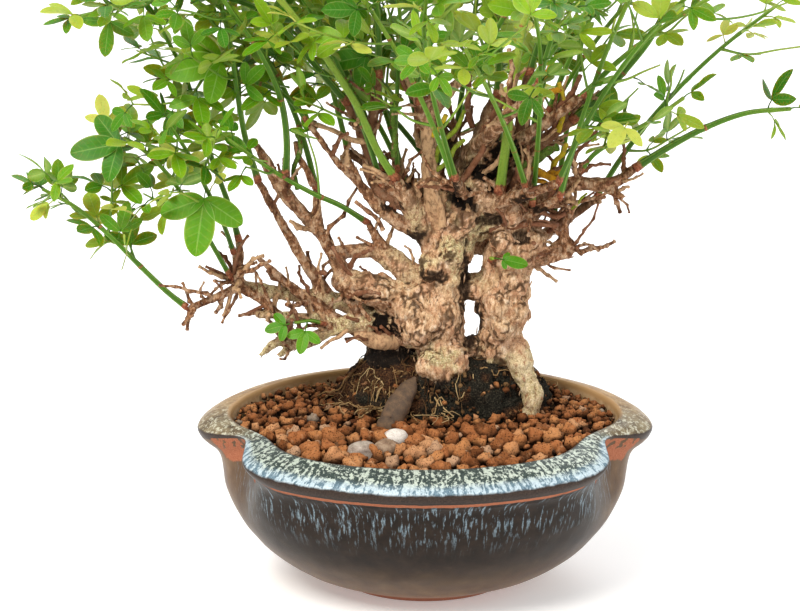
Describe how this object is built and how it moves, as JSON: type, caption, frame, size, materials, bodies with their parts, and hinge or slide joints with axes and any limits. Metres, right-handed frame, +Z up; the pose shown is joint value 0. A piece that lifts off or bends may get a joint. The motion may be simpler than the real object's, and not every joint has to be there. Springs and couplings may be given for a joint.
{
  "type": "winter jasmine bonsai",
  "caption": "Winter jasmine bonsai: old twin trunks with cut-back limbs and green leafy shoots, standing in granular soil in an oval glazed pot.",
  "frame": {"origin": "middle of the pot's flat foot, on the surface that it stands on", "axes": "+Z up, -Y towards the front of the pot, +X to the right along the pot's long side"},
  "size_m": [0.3862, 0.337, 0.3577],
  "materials": {
    "glazed_stoneware": "gloss",
    "baked_clay_granules": "matte",
    "mossy_peat": "matte",
    "white_pebble": "matte",
    "grey_pebble": "matte",
    "brown_pebble": "matte",
    "dark_slab": "satin",
    "pale_root": "matte",
    "old_bark": "matte",
    "green_shoot": "satin"
  },
  "bodies": {
    "root": {"pot": "glazed_stoneware", "soil": "baked_clay_granules", "root_ball": "mossy_peat", "pebble_white": "white_pebble", "pebble_grey": "grey_pebble", "pebble_brown": "brown_pebble", "slab": "dark_slab", "loose_root": "pale_root", "wood": "old_bark", "shoot_long_bright": "green_shoot", "shoot_riser": "green_shoot", "shoot_fork": "green_shoot", "shoot_knot_front": "green_shoot", "shoot_knot_back": "green_shoot", "shoot_pale": "green_shoot", "shoot_right_high": "green_shoot", "shoot_right_long": "green_shoot", "shoot_low_left": "green_shoot", "shoot_left_riser": "green_shoot", "shoot_left_arch": "green_shoot", "shoot_left_back": "green_shoot", "shoot_left_leafy": "green_shoot", "shoot_left_front": "green_shoot", "shoot_level_left": "green_shoot", "shoot_rising_left": "green_shoot", "shoot_wide_arch": "green_shoot", "shoot_top_right": "green_shoot", "shoot_top": "green_shoot", "shoot_centre": "green_shoot", "shoot_thin_left": "green_shoot", "shoot_right_leafy": "green_shoot", "shoot_on_trunk": "green_shoot", "shoot_low_twig": "green_shoot", "shoot_01": "green_shoot", "shoot_02": "green_shoot", "shoot_03": "green_shoot", "shoot_04": "green_shoot", "shoot_05": "green_shoot", "shoot_06": "green_shoot", "shoot_07": "green_shoot", "shoot_08": "green_shoot", "shoot_09": "green_shoot", "shoot_10": "green_shoot", "shoot_11": "green_shoot", "shoot_12": "green_shoot", "shoot_13": "green_shoot", "shoot_14": "green_shoot", "shoot_16": "green_shoot", "shoot_17": "green_shoot", "shoot_18": "green_shoot", "shoot_19": "green_shoot", "shoot_20": "green_shoot", "shoot_21": "green_shoot", "shoot_22": "green_shoot", "shoot_23": "green_shoot", "shoot_24": "green_shoot", "shoot_25": "green_shoot", "shoot_26": "green_shoot"}
  },
  "joints": []
}
